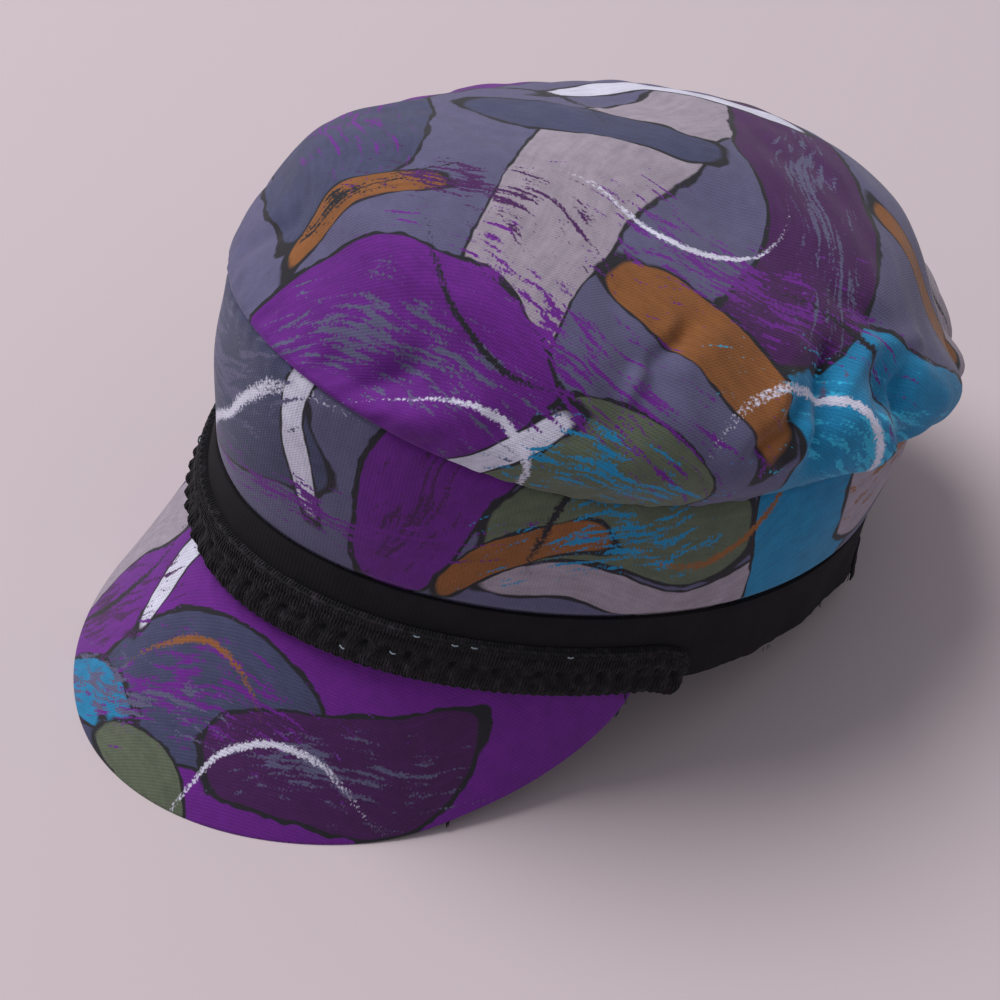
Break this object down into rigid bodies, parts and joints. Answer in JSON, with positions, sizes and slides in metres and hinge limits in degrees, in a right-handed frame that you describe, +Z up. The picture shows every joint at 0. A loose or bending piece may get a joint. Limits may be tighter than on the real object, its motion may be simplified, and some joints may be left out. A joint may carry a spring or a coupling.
{
  "type": "peaked cap",
  "caption": "Soft peaked cap of printed cloth: full folded crown, tall side band, black ribbon, scalloped braid over the ribbon's front and a stiff covered peak.",
  "frame": {"origin": "bottom centre of the bounding box, on the surface that the cap rests on", "axes": "+Z up, -Y towards the peak's tip, +X towards the wearer's left"},
  "size_m": [0.163, 0.2672, 0.1544],
  "materials": {
    "crown": "matt plain-woven cloth with a painterly print",
    "side_band": "matt plain-woven cloth with a painterly print",
    "ribbon": "black matt ribbon",
    "braid_trim": "black scalloped braid",
    "peak": "printed cloth over a stiff core"
  },
  "bodies": {
    "root": {"crown": "crown", "side_band": "side_band", "ribbon": "ribbon", "braid_trim": "braid_trim", "peak": "peak"}
  },
  "joints": []
}
